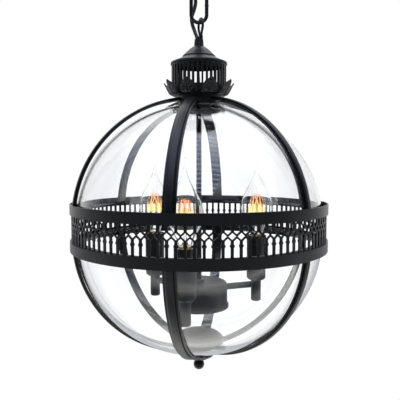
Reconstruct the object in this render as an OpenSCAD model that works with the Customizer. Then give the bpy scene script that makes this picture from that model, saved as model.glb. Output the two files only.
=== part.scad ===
// Pendant lamp: a clear glass globe in a ribbed metal cage, hung on a chain.
// Millimetres. The origin is the centre of the ceiling face, and +Z points up.
// Azimuths are measured from -Y, which is the side seen from the front, towards +X.

/* [Ceiling fixing] */
// Length of the ceiling crossbar
bar_l = 108; // [104:1:116]
// Width of the crossbar
bar_w = 22; // [18:1:30]
// Thickness of the crossbar
bar_t = 2; // [1.5:0.1:3]
// Distance between the two screw slots
slot_spacing = 88.9; // [80:0.1:90]
// Width of each screw slot
slot_w = 4.5; // [4:0.1:5.5]
// Length of each screw slot
slot_l = 9; // [6:0.5:10]
// Outside diameter of the threaded nipple
nipple_d = 9.6; // [8:0.1:10.5]
// Bore of the threaded nipple
nipple_bore = 6.4; // [5:0.1:7]
// Diameter of the canopy
canopy_d = 127; // [122:1:150]
// Depth of the canopy
canopy_h = 25; // [22:0.5:40]
// Sheet thickness of the canopy
canopy_t = 1.2; // [0.8:0.1:2]
// Diameter of the threaded boss under the canopy
boss_d = 19; // [16:0.5:22]
// Diameter of the screw collar
screw_collar_d = 30; // [26:0.5:36]
// Height of the screw collar
screw_collar_h = 5.6; // [4:0.1:7]
// Distance from the canopy's underside to the top of the hanging ring
boss_drop = 9.6; // [8:0.1:16]
// Length of the terminal blocks
block_l = 18; // [15:0.5:20]
// Width of the terminal blocks
block_w = 12; // [9:0.5:14]
// Height of the ceiling's terminal block
block_h = 12; // [9:0.5:14]

/* [Chain] */
// Wire thickness of the links and of the hanging ring
wire_d = 3.8; // [3.2:0.1:4.2]
// Outside length of a link
link_l = 38; // [34:0.5:46]
// Outside width of a link
link_w = 19.8; // [18.8:0.1:24]
// Outside diameter of the hanging ring
ring_d = 20; // [19:0.1:24]
// Play where one link hangs in the next
run_gap = 0.3; // [0.2:0.05:0.4]

/* [Cord] */
// Diameter of the cord
cord_d = 3.8; // [3:0.1:4]
// Distance of the cord bushing from the axis
bushing_x = 24; // [22:0.5:26]

/* [Crown] */
// Wire thickness of the eye
eye_wire_d = 2.6; // [2.2:0.1:2.8]
// Centre-line radius of the eye's round top
eye_r = 7; // [6.6:0.1:8]
// Distance from the centre of the eye's round top to where its legs meet
eye_leg_drop = 12.6; // [11:0.1:18]
// Turn of the eye about the vertical
eye_turn = 18; // [0:1:40]
// Offset of the eye beside the cord
eye_x = 1.8; // [1.7:0.1:2]
// Top diameter of the neck bush
neck_top_d = 9; // [8.8:0.1:10]
// Diameter of the neck bush where it meets the cap
neck_foot_d = 10.2; // [10:0.1:12]
// Height of the neck bush above the cap
neck_h = 7.4; // [6:0.1:12]
// Diameter of the cap's upper dome
dome_d = 33.8; // [28:0.2:38]
// Height of the cap's upper dome
dome_h = 8.7; // [6:0.1:12]
// Diameter of the cap's rim
cap_d = 58.8; // [58.4:0.1:64]
// Height of the cap's lower flare
flare_h = 7.3; // [5:0.1:10]
// Height of the cap's upright rim
rim_h = 1.8; // [1:0.1:4]
// Sheet thickness of the crown's pressings
crown_t = 1; // [0.8:0.1:1.3]
// How far the grille drum stands inside the base dish's rim
drum_inset = 0.5; // [0.4:0.1:3]
// Height of the grille drum
drum_h = 28.7; // [24:0.1:40]
// Plain height below the drum's slots
drum_foot = 6; // [3:0.1:10]
// Number of slots in the drum
drum_slots = 36; // [24:2:40]
// Width of a drum slot
drum_slot_w = 2.7; // [1.6:0.1:2.8]
// Diameter of the base dish under the drum
base_d = 58; // [57.4:0.1:62]
// Height that the base dish's rim rises
base_rise = 1.8; // [1:0.1:3]
// Number of leaves in the coronet
leaf_n = 9; // [6:1:10]
// Width of a leaf
leaf_w = 15.5; // [8:0.5:16]
// Radius of the leaf tips
leaf_tip_r = 37.6; // [35:0.1:44]
// Height of the leaf tips above the coronet's ring
leaf_tip_h = 14; // [10:0.1:20]
// Diameter of the collar that the ribs run into
collar_d = 42; // [38:0.2:46]
// Height of the collar
collar_h = 12.4; // [9:0.1:16]
// Wall of the collar
collar_t = 1.5; // [1:0.1:2.5]
// Thickness of the vented plate
plate_t = 2; // [1.5:0.1:3]
// Number of vents in the plate
vent_n = 16; // [10:1:18]

/* [Globe cage] */
// Outside diameter of the two bands
band_od = 266; // [256:1:280]
// Sheet thickness of the bands
band_t = 1.5; // [1:0.1:2.2]
// Height of each band
band_h = 10; // [9:0.5:14]
// Open height between the bands
window_h = 27; // [26:0.5:34]
// Outer radius of a rib's arc
rib_r = 127; // [120:0.5:131]
// Width of a rib
rib_w = 12; // [9:0.5:13]
// Width of a rib's raised moulding
rib_bead_w = 7.4; // [5:0.1:8.6]
// Thickness of a rib
rib_t = 3.6; // [2.6:0.1:5]
// Thickness of a rib's flange
rib_flange_t = 1.2; // [0.8:0.1:1.6]
// Ribs in each half
rib_n = 6; // [4:1:8]
// Azimuth of the first rib
rib_az = -11; // [-30:1:30]
// How far the upper arcs' centre lies under the upper band's top edge
upper_drop = 17.5; // [10:0.5:24]
// How far the lower arcs' centre lies above the lower band's bottom edge
lower_drop = 13.5; // [10:0.5:24]
// How far the upper glass's arc lies under the ribs' arc
glass_sink = 4.5; // [3.5:0.1:5]
// Wall of the glass
glass_t = 2.5; // [1.8:0.1:3.5]
// Play between the glass and the metal
glass_gap = 0.3; // [0.2:0.05:0.6]
// Radius of the glass's upper mouth, at the middle of its wall
mouth_r = 25.5; // [25:0.1:29]
// Thickness of the bead round the mouth
mouth_bead_d = 4.6; // [4:0.1:5.4]
// Thickness of the two ledge rings
ledge_t = 1.2; // [0.8:0.1:2]
// Width of the two ledge rings
ledge_w = 12; // [10:0.5:14]

/* [Gallery] */
// Sheet thickness of the gallery
gallery_t = 1.3; // [0.8:0.1:1.6]
// Height that the gallery reaches behind each band
gallery_lap = 1.5; // [1:0.1:3]
// Number of columns
column_n = 108; // [72:6:108]
// Azimuth of one column
column_az = -1.47; // [-1.6:0.01:1.6]
// Width of a column
column_w = 2.5; // [1.8:0.1:2.8]
// Width of a column's bead
column_bead_w = 3.9; // [3:0.1:4.4]
// Height of the columns' beads, from the middle of the gallery
column_bead_z = -3.5; // [-6:0.1:-2.6]
// Height of the crossings of the X bars
cross_z = 4.35; // [3.8:0.05:5]
// Half height of a diamond
diamond_h = 2.95; // [2.5:0.05:3.1]
// Width left between two diamonds
diamond_gap = 1; // [0.8:0.1:1.4]
// Height from a crossing to the point of the arch below it or the shield above
point_gap = 1.6; // [1.3:0.05:1.8]
// Strip left beyond the openings, beside each band
edge_strip = 0.4; // [0.2:0.1:1]

/* [Hub and arms] */
// Outside diameter of the stem
stem_d = 5.6; // [5.2:0.1:6.4]
// Bore of the stem
stem_bore = 3.8; // [3.4:0.1:4.2]
// Distance from the middle of the gallery down to the arms' centre line
arm_drop = 70; // [66:0.5:76]
// Distance of the candles from the axis
arm_reach = 67.5; // [60:0.5:74]
// Azimuth of the first arm
arm_az = -11; // [-30:1:30]
// Outside diameter of an arm
arm_d = 7; // [6:0.1:8]
// Bore of an arm
arm_bore = 4.6; // [3.6:0.1:5]
// Diameter of an arm's upright stub
stub_d = 11; // [10:0.1:13]
// Height of the stub below the arm's centre line
stub_below = 18.5; // [10:0.5:24]
// Height of the stub above the arm's centre line
stub_above = 5.5; // [5:0.1:8]
// Outside diameter of the hub
hub_d = 60.8; // [54:0.2:66]
// Wall of the hub's pressings
hub_t = 1.2; // [0.8:0.1:2]
// Height of the hub body below the arms' centre line
hub_below = 13; // [11:0.5:18]
// Height of the hub body above the arms' centre line
hub_above = 4; // [3.8:0.1:8]
// Rounding of the hub lid's edge
lid_round = 4; // [3:0.1:6]
// Height of the hub's base
hub_base_h = 5.5; // [4:0.1:9]
// Diameter of the hub's base
hub_base_d = 64; // [62:0.2:70]

/* [Candles] */
// Diameter of a candle cup
cup_d = 21; // [20.6:0.1:24]
// Height of a candle cup
cup_h = 12.5; // [9:0.1:15]
// Diameter of a candle sleeve
sleeve_d = 21.5; // [20.8:0.1:24]
// Wall of a candle sleeve
sleeve_t = 1; // [0.8:0.1:1.5]
// Height of a candle sleeve
sleeve_h = 37; // [34:0.5:42]
// Diameter of a lampholder
holder_d = 16.8; // [15:0.1:17.4]
// Diameter of a bulb's screw base
cap_thread_d = 11.8; // [11.6:0.1:12]
// Length of a bulb's screw base
cap_thread_h = 18; // [16:0.5:20]
// Diameter of a bulb
bulb_d = 35; // [32:0.5:38]
// Height from the bulb's neck to its widest place
bulb_belly_h = 28.4; // [22:0.2:32]
// Height from the bulb's widest place to its tip
bulb_tip_h = 56; // [40:0.5:58]
// Wall of the bulb's glass
bulb_t = 0.8; // [0.5:0.1:1.2]

/* [Bottom] */
// Diameter of the inner bottom cap
foot_cap_d = 54; // [44:0.5:60]
// Height of the inner bottom cap
foot_cap_h = 13.8; // [11:0.1:20]
// Radius of the ring that the lower ribs run into
foot_ring_r = 11.4; // [9:0.1:14]
// Diameter of the clamp rod
rod_d = 5; // [4:0.1:6]
// Diameter of the dish under the globe
dish_d = 36; // [30:0.5:40]
// Height of the dish
dish_h = 9.8; // [7:0.1:14]
// Diameter of the ball finial
ball_d = 11.6; // [10:0.1:16]

/* [Hidden] */
$fn = 96;

// Colours of the finishes
black_metal = "#242528";
brass = "#b08d4a";
cream = "#e9e4d6";
clear = [0.8, 0.88, 0.92, 0.3];

// Clearances: a screwed or slid fit, and a seat that parts lie in
fit_gap = 0.05;
seat_gap = 0.1;

// Ceiling fixing
boss_z = -canopy_h;
boss_up = 7;
locknut_h = 3;
nipple_end = boss_z - 6;
ring_z = boss_z - boss_drop - ring_d / 2;
bushing_d = 9;
bushing_shank_d = 6.6;
canopy_flat_r = 33;
canopy_step_r = 46;
canopy_step_h = 7;

// Chain: each pivot is the middle of the wire that the next piece hangs on
wire_r = wire_d / 2;
link_pitch = link_l - 2 * wire_d - run_gap;
pivot_3 = ring_z - ring_d / 2 + wire_r;
pivot_2 = pivot_3 - link_pitch;
pivot_1 = pivot_2 - link_pitch;
pivot_lamp = pivot_1 - link_pitch;
function link_z(pivot) = pivot + wire_r + run_gap + wire_d - link_l / 2;

// Crown, from the eye down to the collar
eye_askew_gap = 0.35;
eye_z = pivot_lamp + wire_r + run_gap + eye_askew_gap + eye_wire_d / 2 - eye_r;
neck_z = eye_z - eye_leg_drop - 0.9 - eye_askew_gap;
eye_leg_cut = 2.5;
eye_clamp_w = 6;
eye_clamp_h = 3.6;
eye_clamp_t = 3;
cap_z = neck_z - neck_h;
spigot_d = 8.8;
spigot_l = 5.1;
cap_nut_h = 3;
cap_nut_drop = 1.9;
step_h = 1;
cap_h = dome_h + step_h + flare_h + rim_h;
drum_top = cap_z - dome_h - step_h - flare_h - crown_t * 1.6;
drum_foot_z = drum_top - drum_h;
base_floor_t = 1.4;
base_z = drum_foot_z - base_rise - base_floor_t;
collar_top = base_z - crown_t;
collar_r = collar_d / 2;
drum_d = base_d - 2 * drum_inset;
plate_z = collar_top - collar_h;
stem_hole_d = stem_d + 2 * fit_gap;

// Globe cage: the arcs of ribs and glass share their centres
band_r = band_od / 2;
band_in_r = band_r - band_t;
band_edge = window_h / 2 + band_h;
seat_r = band_in_r - seat_gap;
gallery_edge = window_h / 2 + gallery_lap;
ledge_edge = gallery_edge + ledge_t;
function foot_rise(drop) = ledge_edge - band_edge + drop;
function arc_r0(drop) = seat_r - sqrt(pow(rib_r, 2) - pow(foot_rise(drop), 2));
function arc_height(r_arc, across) = sqrt(pow(r_arc, 2) - pow(across, 2));
function arc_top(drop, r_arc, r) = band_edge - drop + arc_height(r_arc, r - arc_r0(drop));
glass_r = rib_r - rib_t - glass_gap;
collar_lip = 1.4;
globe_z = collar_top - collar_lip - arc_top(upper_drop, rib_r, collar_r);
keeper_w = 8;
keeper_h = 3.3;
screw_d = 3;
screw_head_d = 5.6;
tab_t = 3.3;

// Hub
arm_z = globe_z - arm_drop;
lid_z = arm_z + hub_above;
lid_top = lid_z + lid_round + 0.5;
hub_floor_z = arm_z - hub_below;
hub_base_z = hub_floor_z - hub_base_h;
stem_low = lid_top - 5.4;
stem_top = base_z + base_floor_t + 6;
hub_nut_h = 2.6;
arm_nut_h = 2.8;
arm_nut_d = 10;
arm_nut_x = sqrt(pow(hub_d / 2 - hub_t, 2) - pow(arm_nut_d / sqrt(3), 2)) - arm_nut_h - seat_gap;

// Candles
cup_z = arm_z + stub_above;
sleeve_z = cup_z + cup_h;
spigot_arm_d = 8;
holder_z = sleeve_z + 2;
holder_top = sleeve_z + sleeve_h - 1;
bulb_neck_z = holder_top + 2.5;
bulb_neck_r = 6.8;
stem_glass_d = bulb_neck_r - 2.8;
stem_glass_h = bulb_d / 2 - 2.5;
filament_r = bulb_d / 10;
filament_z = bulb_neck_z + bulb_d / 2 + 6.5;
filament_h = 10;
thread_z = bulb_neck_z - cap_thread_h;
lead_d = 3;
arm_lead_d = 2.6;

// Bottom
foot_ring_z = globe_z - arc_top(lower_drop, rib_r, foot_ring_r);
foot_ring_top = globe_z - arc_top(lower_drop, rib_r - rib_t, foot_ring_r);
foot_cap_rim = globe_z - arc_top(lower_drop, glass_r - glass_t, foot_cap_d / 2) + glass_gap;
foot_cap_top = foot_cap_rim + foot_cap_h;
foot_boss_d = 12;
dish_top = foot_ring_z - 0.3;
dish_low = dish_top - dish_h;
dish_boss_d = 10;
ball_z = dish_low - ball_d / 2 + 0.4;
rod_top = foot_cap_top - 3;
rod_low = ball_z - 1.6;

// The cord's route, from the terminal block to the neck bush
cord_route = [
    [-bushing_x, 0, -bar_t - block_h], [-bushing_x, 0, -20], [-bushing_x, 0, -28],
    [-21, 2, -36], [-15, 5, -44], [-9, 6.5, -52], [-3, 5.5, -60], [0.5, 0, -66],
    [5, -4, -73], [8, -5.5, -81], [6, -2.5, -89], [0, 0, -96],
    [-6, 3, -103], [-6, 5, -111], [-3.5, 5.5, -119], [-4.5, 5.2, -127],
    [-7.5, 4.6, -136], [-7, 4.2, -143], [-4.5, 2.5, -151], [-2, 0.3, -158], [-1.75, 0, neck_z]
];
cord_x = -1.75;
// First and last point of each stretch
cord_spans = [[0, 7], [7, 11], [11, 15], [15, 20]];

// Vector helpers
function unit(v) = v / norm(v);
function mix(a, b, t) = a + (b - a) * t;
function inner_side(v) = [v.y, -v.x];
function step_before(p, i) = i == 0 ? p[1] - p[0] : p[i] - p[i - 1];
function step_after(p, i) = i == len(p) - 1 ? p[i] - p[i - 1] : p[i + 1] - p[i];
function side_at(p, i) = unit(unit(inner_side(step_before(p, i))) + unit(inner_side(step_after(p, i))));
// A path moved sideways by t, to its right
function beside(p, t) = [
    for (i = [0:len(p) - 1]) p[i] + side_at(p, i) * t / (side_at(p, i) * unit(inner_side(step_before(p, i))))
];
function reversed(p) = [for (i = [len(p) - 1:-1:0]) p[i]];

// Turns local +X to an azimuth
module turned(az) { rotate([0, 0, az - 90]) children(); }

module at_globe() { translate([0, 0, globe_z]) children(); }

// A pressed sheet of revolution along a path of [radius, height]
module spun_sheet(path, t) { rotate_extrude() polygon(concat(path, reversed(beside(path, t)))); }

// An upright tube
module upright_tube(d, bore, low, high) {
    translate([0, 0, low]) rotate_extrude() translate([bore / 2, 0]) square([(d - bore) / 2, high - low]);
}

module upright_rod(d, low, high) { translate([0, 0, low]) cylinder(d = d, h = high - low); }

// A straight round bar between two points
module bar_between(a, b, d) {
    v = b - a;
    translate(a) rotate([0, acos(v.z / norm(v)), atan2(v.y, v.x)]) cylinder(d = d, h = norm(v));
}

module hex_nut(flats, bore, low, h) {
    translate([0, 0, low]) difference() {
        cylinder(d = flats / cos(30), h = h, $fn = 6);
        translate([0, 0, -1]) cylinder(d = bore, h = h + 2);
    }
}

// An outline of [across, height] cut outwards from a radius
module radial_cut(outline, from_r, depth) {
    translate([from_r, 0, 0]) rotate([90, 0, 90]) linear_extrude(depth) polygon(outline);
}

module ceiling_crossbar() {
    color(brass) difference() {
        translate([-bar_l / 2, -bar_w / 2, -bar_t]) cube([bar_l, bar_w, bar_t]);
        for (side = [-1, 1], end = [-1, 1])
            translate([side * slot_spacing / 2 + end * (slot_l - slot_w) / 2, 0, -bar_t - 1])
                cylinder(d = slot_w, h = bar_t + 2);
        for (side = [-1, 1])
            translate([side * slot_spacing / 2 - (slot_l - slot_w) / 2, -slot_w / 2, -bar_t - 1])
                cube([slot_l - slot_w, slot_w, bar_t + 2]);
        translate([0, 0, -bar_t - 1]) cylinder(d = nipple_d + 2 * fit_gap, h = bar_t + 2);
    }
}

module crossbar_nipple() { color(brass) upright_tube(nipple_d, nipple_bore, nipple_end, -0.5); }

module nipple_locknuts() {
    color(brass) hex_nut(14, nipple_d + 2 * fit_gap, -bar_t - locknut_h, locknut_h);
    color(brass) hex_nut(14, nipple_d + 2 * fit_gap, boss_z + boss_up, locknut_h);
}

module terminal_block() {
    color(cream) difference() {
        translate([-bushing_x - block_l / 2, -block_w / 2, -bar_t - block_h]) cube([block_l, block_w, block_h]);
        for (x = [-5, 0, 5], y = [-3, 3])
            translate([x - bushing_x, y, -bar_t - block_h / 2])
                rotate([y > 0 ? -90 : 90, 0, 0]) cylinder(d = 3, h = block_w);
    }
}

module canopy() {
    path = [
        [boss_d / 2 + 0.3, boss_z], [canopy_flat_r, boss_z],
        [canopy_flat_r + 2, boss_z + 1.2],
        for (a = [15:15:90]) [canopy_step_r + 3 * sin(a) - 2, boss_z + 5.4 - 3 * cos(a)],
        [canopy_step_r + 1, boss_z + canopy_step_h],
        for (a = [0:15:90]) [
            mix(canopy_step_r + 2, canopy_d / 2, sin(a)),
            mix(-3, boss_z + canopy_step_h, cos(a))
        ],
        [canopy_d / 2, -0.3]
    ];
    color(black_metal) difference() {
        spun_sheet(path, -canopy_t);
        translate([-bushing_x, 0, 0]) upright_rod(bushing_shank_d + 2 * fit_gap, boss_z - 1, boss_z + canopy_t + 1);
    }
}

module canopy_loop() {
    color(black_metal) difference() {
        union() {
            translate([0, 0, ring_z]) rotate([90, 0, 90]) rotate_extrude() translate([ring_d / 2 - wire_r, 0])
                circle(d = wire_d);
            upright_rod(boss_d, boss_z - screw_collar_h - 1, boss_z + boss_up);
            translate([0, 0, ring_z + ring_d / 2 - wire_r])
                cylinder(d1 = 8, d2 = boss_d, h = boss_drop + wire_r - screw_collar_h - 1);
        }
        translate([0, 0, nipple_end - 0.5]) cylinder(d = nipple_d + 2 * fit_gap, h = boss_up - nipple_end);
    }
}

module cord_bushing() {
    color(black_metal) translate([-bushing_x, 0, 0]) difference() {
        union() {
            upright_rod(bushing_d, boss_z - 2, boss_z);
            upright_rod(bushing_shank_d, boss_z - 1, boss_z + canopy_t + 2);
        }
        upright_rod(cord_d + 2 * seat_gap, boss_z - 3, boss_z + canopy_t + 3);
    }
}

module screw_collar() {
    color(black_metal) difference() {
        union() {
            upright_rod(screw_collar_d, boss_z - screw_collar_h + 1, boss_z - seat_gap);
            translate([0, 0, boss_z - screw_collar_h])
                cylinder(d1 = screw_collar_d - 2, d2 = screw_collar_d, h = 1);
        }
        upright_rod(boss_d + 2 * fit_gap, boss_z - screw_collar_h - 1, boss_z + 1);
        for (a = [0:45:315])
            rotate([0, 0, a]) translate([screw_collar_d / 2 + 0.6, 0, boss_z - screw_collar_h - 1])
                cylinder(d = 3, h = screw_collar_h + 2);
    }
}

// A link lying in the XY plane with its length along Y
module flat_link() {
    bend_r = link_w / 2 - wire_r;
    run = link_l - link_w;
    for (end = [0, 1])
        mirror([0, end, 0]) translate([0, run / 2, 0])
            rotate_extrude(angle = 180) translate([bend_r, 0]) circle(d = wire_d);
    for (side = [-1, 1])
        translate([side * bend_r, 0, 0]) rotate([90, 0, 0]) cylinder(d = wire_d, h = run, center = true);
}

module chain_link(pivot, turn) {
    color(black_metal) translate([0, 0, link_z(pivot)]) rotate([90, 0, turn]) union() { flat_link(); }
}

module chain_link_3() { chain_link(pivot_3, 0); }
module chain_link_2() { chain_link(pivot_2, 90); }
module chain_link_1() { chain_link(pivot_1, 0); }

// The cord as an eight-sided tube with one ring at each point of its route
cord_sides = 8;
function route_step(i) =
    i <= 1 || i >= len(cord_route) - 1 ? [0, 0, -1]
    : unit(unit(cord_route[i] - cord_route[i - 1]) + unit(cord_route[i + 1] - cord_route[i]));
function cord_ring(i) = let (t = route_step(i), u = unit(cross([0, 1, 0], t)), v = cross(t, u)) [
    for (k = [0:cord_sides - 1])
        cord_route[i] + cord_d / 2 * (u * cos(k * 360 / cord_sides) + v * sin(k * 360 / cord_sides))
];

module cord_span(first, last) {
    count = last - first;
    sides = cord_sides;
    points = [for (i = [first:last]) each cord_ring(i)];
    low = [for (k = [0:sides - 1]) k];
    high = [for (k = [sides - 1:-1:0]) count * sides + k];
    walls = [
        for (i = [0:count - 1], k = [0:sides - 1]) let (a = i * sides, n = (k + 1) % sides)
            each [[a + k, a + sides + k, a + sides + n], [a + k, a + sides + n, a + n]]
    ];
    color(black_metal) polyhedron(points = points, faces = concat([low, high], walls));
}

module cord_1() { cord_span(cord_spans[0][0], cord_spans[0][1]); }
module cord_2() { cord_span(cord_spans[1][0], cord_spans[1][1]); }
module cord_3() { cord_span(cord_spans[2][0], cord_spans[2][1]); }
module cord_4() { cord_span(cord_spans[3][0], cord_spans[3][1]); }

// A drop-shaped wire eye, with a weld bead where each leg leaves the bend, and a clamp on its shank
eye_lean = acos(eye_r / eye_leg_drop);
module at_eye_bends() {
    for (side = [-1, 1])
        translate([side * eye_r * sin(eye_lean), -eye_r * cos(eye_lean), 0])
            rotate([90, 0, -side * (90 - eye_lean)]) children();
}

module top_eye() {
    leg = sqrt(pow(eye_leg_drop, 2) - pow(eye_r, 2)) - eye_leg_cut;
    clamp_low = neck_z - eye_z;
    color(black_metal) translate([eye_x, 0, eye_z]) rotate([90, 0, 90 + eye_turn]) union() {
        rotate([0, 0, eye_lean - 90]) rotate_extrude(angle = 360 - 2 * eye_lean) translate([eye_r, 0])
            circle(d = eye_wire_d);
        at_eye_bends() translate([0, 0, 0.1]) cylinder(d = eye_wire_d, h = leg);
        at_eye_bends() sphere(d = eye_wire_d + 0.3);
        translate([-eye_clamp_w / 2, clamp_low, -eye_clamp_t / 2])
            cube([eye_clamp_w, eye_clamp_h, eye_clamp_t]);
        translate([0, clamp_low + 1, 0]) rotate([90, 0, 0])
            cylinder(d = eye_wire_d, h = neck_h + spigot_l);
    }
}

module crown_neck() {
    color(black_metal) difference() {
        union() {
            translate([0, 0, cap_z]) cylinder(d1 = neck_foot_d, d2 = neck_top_d, h = neck_h);
            upright_rod(spigot_d, cap_z - spigot_l, cap_z);
        }
        translate([eye_x, 0, cap_z - spigot_l - 1])
            cylinder(d = eye_wire_d + 2 * fit_gap, h = neck_h + spigot_l + 2);
        translate([cord_x, 0, cap_z - spigot_l - 1]) cylinder(d = lead_d + 2 * fit_gap, h = neck_h + spigot_l + 2);
    }
}

module crown_cap() {
    path = [
        [spigot_d / 2 + seat_gap, cap_z],
        for (u = [0:0.2:1]) [mix(neck_foot_d / 2, dome_d / 2, u), cap_z - dome_h * pow(u, 1.2)],
        [dome_d / 2 + 0.5, cap_z - dome_h - 0.2], [dome_d / 2 + 0.5, cap_z - dome_h - step_h],
        for (u = [0.1:0.18:1]) [
            mix(dome_d / 2 + 0.5, cap_d / 2, u), cap_z - dome_h - step_h - flare_h * pow(u, 1.15)
        ],
        [cap_d / 2, cap_z - cap_h]
    ];
    color(black_metal) spun_sheet(path, crown_t * 0.7);
}

module crown_grille() {
    wall = 1.2;
    color(black_metal) difference() {
        upright_tube(drum_d, drum_d - 2 * wall, drum_foot_z, drum_top);
        for (i = [0:drum_slots - 1])
            turned(i * 360 / drum_slots)
                translate([drum_d / 2 - wall - 1, -drum_slot_w / 2, drum_foot_z + drum_foot])
                    cube([wall + 2, drum_slot_w, drum_h - drum_foot - 1.5]);
    }
}

module crown_base() {
    path = [
        [stem_hole_d / 2, base_z], [base_d / 2 - 4.5, base_z], [base_d / 2 - 0.6, base_z + base_rise],
        [base_d / 2, base_z + base_rise + 0.3], [base_d / 2, base_z + base_rise + base_floor_t],
        [base_d / 2 - 4.5, base_z + base_rise + base_floor_t],
        [base_d / 2 - 8, base_z + base_floor_t], [stem_hole_d / 2, base_z + base_floor_t]
    ];
    color(black_metal) rotate_extrude() polygon(path);
}

// Half width of a leaf at a share u of its length
function leaf_half(u) = leaf_w / 2 * (u < 0.35 ? mix(0.7, 1, sin(u * 257)) : pow(cos((u - 0.35) * 138), 0.8));

module leaf_coronet() {
    root_r = collar_r;
    mid_z = collar_top + crown_t / 2;
    tip = [leaf_tip_r, collar_top + leaf_tip_h];
    path = [
        [root_r - 1, mid_z], [base_d / 2 - 3, mid_z], [base_d / 2 + 1.7, mid_z + base_rise + 0.6],
        [base_d / 2 + 3.2, mid_z + base_rise + 2.8], mix([base_d / 2 + 3.2, mid_z + base_rise + 2.8], tip, 0.45),
        tip
    ];
    reach = (tip.x - root_r + tip.y - mid_z) / sqrt(2);
    shares = [for (i = [0:10]) i / 10];
    outline = concat(
        [for (u = shares) [u * reach, leaf_half(u)]], [for (u = reversed(shares)) [u * reach, -leaf_half(u)]]
    );
    color(black_metal) union() {
        upright_tube(2 * root_r + 2, 2 * root_r - 16, collar_top, collar_top + crown_t);
        intersection() {
            spun_sheet([for (p = path) p + [0, crown_t * 0.4]], crown_t * 0.8);
            for (i = [0:leaf_n - 1])
                turned(20 + i * 360 / leaf_n) translate([root_r, 0, mid_z]) rotate([0, -45, 0])
                    translate([0, 0, -12]) linear_extrude(28) polygon(outline);
        }
    }
}

module crown_collar() {
    color(black_metal) rotate_extrude() polygon([
        [collar_r - collar_t, plate_z], [collar_r, plate_z], [collar_r, collar_top],
        [collar_r - 8, collar_top], [collar_r - 8, collar_top - collar_t],
        [collar_r - collar_t, collar_top - collar_t]
    ]);
}

module crown_plate() {
    plate_r = mouth_r - mouth_bead_d / 2 - glass_gap;
    color(black_metal) difference() {
        upright_tube(2 * plate_r, stem_hole_d, plate_z - plate_t, plate_z);
        for (i = [0:vent_n - 1])
            turned(i * 360 / vent_n) translate([collar_r - collar_t - 3.5, -1.5, plate_z - plate_t - 1])
                cube([3, 3, plate_t + 2]);
        for (i = [0:vent_n / 2 - 1])
            turned(i * 720 / vent_n) translate([collar_r / 2, 0, plate_z - plate_t - 1]) cylinder(d = 4, h = plate_t + 2);
    }
}

module hex_nuts() {
    color(black_metal) hex_nut(12, spigot_d + 2 * fit_gap, cap_z - cap_nut_drop - cap_nut_h, cap_nut_h);
    color(brass) hex_nut(9, stem_hole_d, base_z + base_floor_t, 3);
    color(brass) hex_nut(9, stem_hole_d, plate_z - plate_t - 3.4, 3.4);
    color(brass) hex_nut(9, stem_hole_d, lid_top, hub_nut_h);
    color(brass) hex_nut(9, stem_hole_d, lid_top - hub_t - hub_nut_h, hub_nut_h);
    for (i = [0:2])
        color(brass) turned(arm_az + 120 * i) translate([arm_nut_x, 0, arm_z])
            rotate([90, 0, 90]) hex_nut(arm_nut_d, arm_d + 2 * fit_gap, 0, arm_nut_h);
}

module centre_stem() { color(black_metal) upright_tube(stem_d, stem_bore, stem_low, stem_top); }

// The section of one glass bowl, from its edge at the ledge to a radius on the axis side
module glass_section(drop, sink, from_r, to_r) {
    intersection() {
        translate([arc_r0(drop), band_edge - drop - sink]) difference() {
            circle(r = glass_r);
            circle(r = glass_r - glass_t);
        }
        translate([from_r, ledge_edge + seat_gap]) square([to_r - from_r, rib_r]);
    }
}

module upper_glass() {
    mid_r = glass_r - glass_t / 2;
    color(clear) at_globe() rotate_extrude() union() {
        glass_section(upper_drop, glass_sink, mouth_r, band_r);
        translate([mouth_r, arc_top(upper_drop, mid_r, mouth_r) - glass_sink])
            circle(d = mouth_bead_d);
    }
}

module lower_glass() {
    color(clear) at_globe() mirror([0, 0, 1]) rotate_extrude() glass_section(lower_drop, 0, rod_d / 2 + 1.5, band_r);
}

// A rib's section: a flange against the glass and a raised moulding on it
rib_section = [
    [0, -rib_w / 2], [rib_flange_t - 0.3, -rib_w / 2], [rib_flange_t, -rib_w / 2 + 0.4],
    [rib_flange_t, -rib_bead_w / 2 - 0.7], [rib_flange_t - 0.4, -rib_bead_w / 2 - 0.4],
    [rib_flange_t - 0.4, -rib_bead_w / 2], [rib_t - 0.9, -rib_bead_w / 2],
    [rib_t - 0.3, -rib_bead_w / 2 + 0.8], [rib_t, -rib_bead_w / 4],
    [rib_t, rib_bead_w / 4], [rib_t - 0.3, rib_bead_w / 2 - 0.8], [rib_t - 0.9, rib_bead_w / 2],
    [rib_flange_t - 0.4, rib_bead_w / 2], [rib_flange_t - 0.4, rib_bead_w / 2 + 0.4],
    [rib_flange_t, rib_bead_w / 2 + 0.7], [rib_flange_t, rib_w / 2 - 0.4],
    [rib_flange_t - 0.3, rib_w / 2], [0, rib_w / 2]
];

// The ribs of one half, each an arc from the ledge to a ring of radius end_r
module half_ribs(drop, end_r) {
    inner_r = rib_r - rib_t;
    foot = asin(foot_rise(drop) / inner_r);
    head = acos((end_r - arc_r0(drop)) / inner_r);
    for (i = [0:rib_n - 1])
        turned(rib_az + i * 360 / rib_n) translate([arc_r0(drop), 0, band_edge - drop])
            rotate([90, 0, 0]) rotate([0, 0, foot]) rotate_extrude(angle = head - foot)
                translate([inner_r, 0]) polygon(rib_section);
}

module upper_ribs() { color(black_metal) at_globe() half_ribs(upper_drop, collar_r); }
module lower_ribs() { color(black_metal) at_globe() mirror([0, 0, 1]) half_ribs(lower_drop, foot_ring_r); }

module upper_band() {
    color(black_metal) at_globe() upright_tube(2 * band_r, 2 * band_in_r, window_h / 2, band_edge);
}

// The lower band has three countersunk holes between the ribs
screw_z = -ledge_edge - keeper_h;
module at_screws() {
    for (i = [0:2]) turned(rib_az + 180 / rib_n + 60 + i * 120) translate([0, 0, screw_z]) rotate([0, 90, 0]) children();
}

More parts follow.
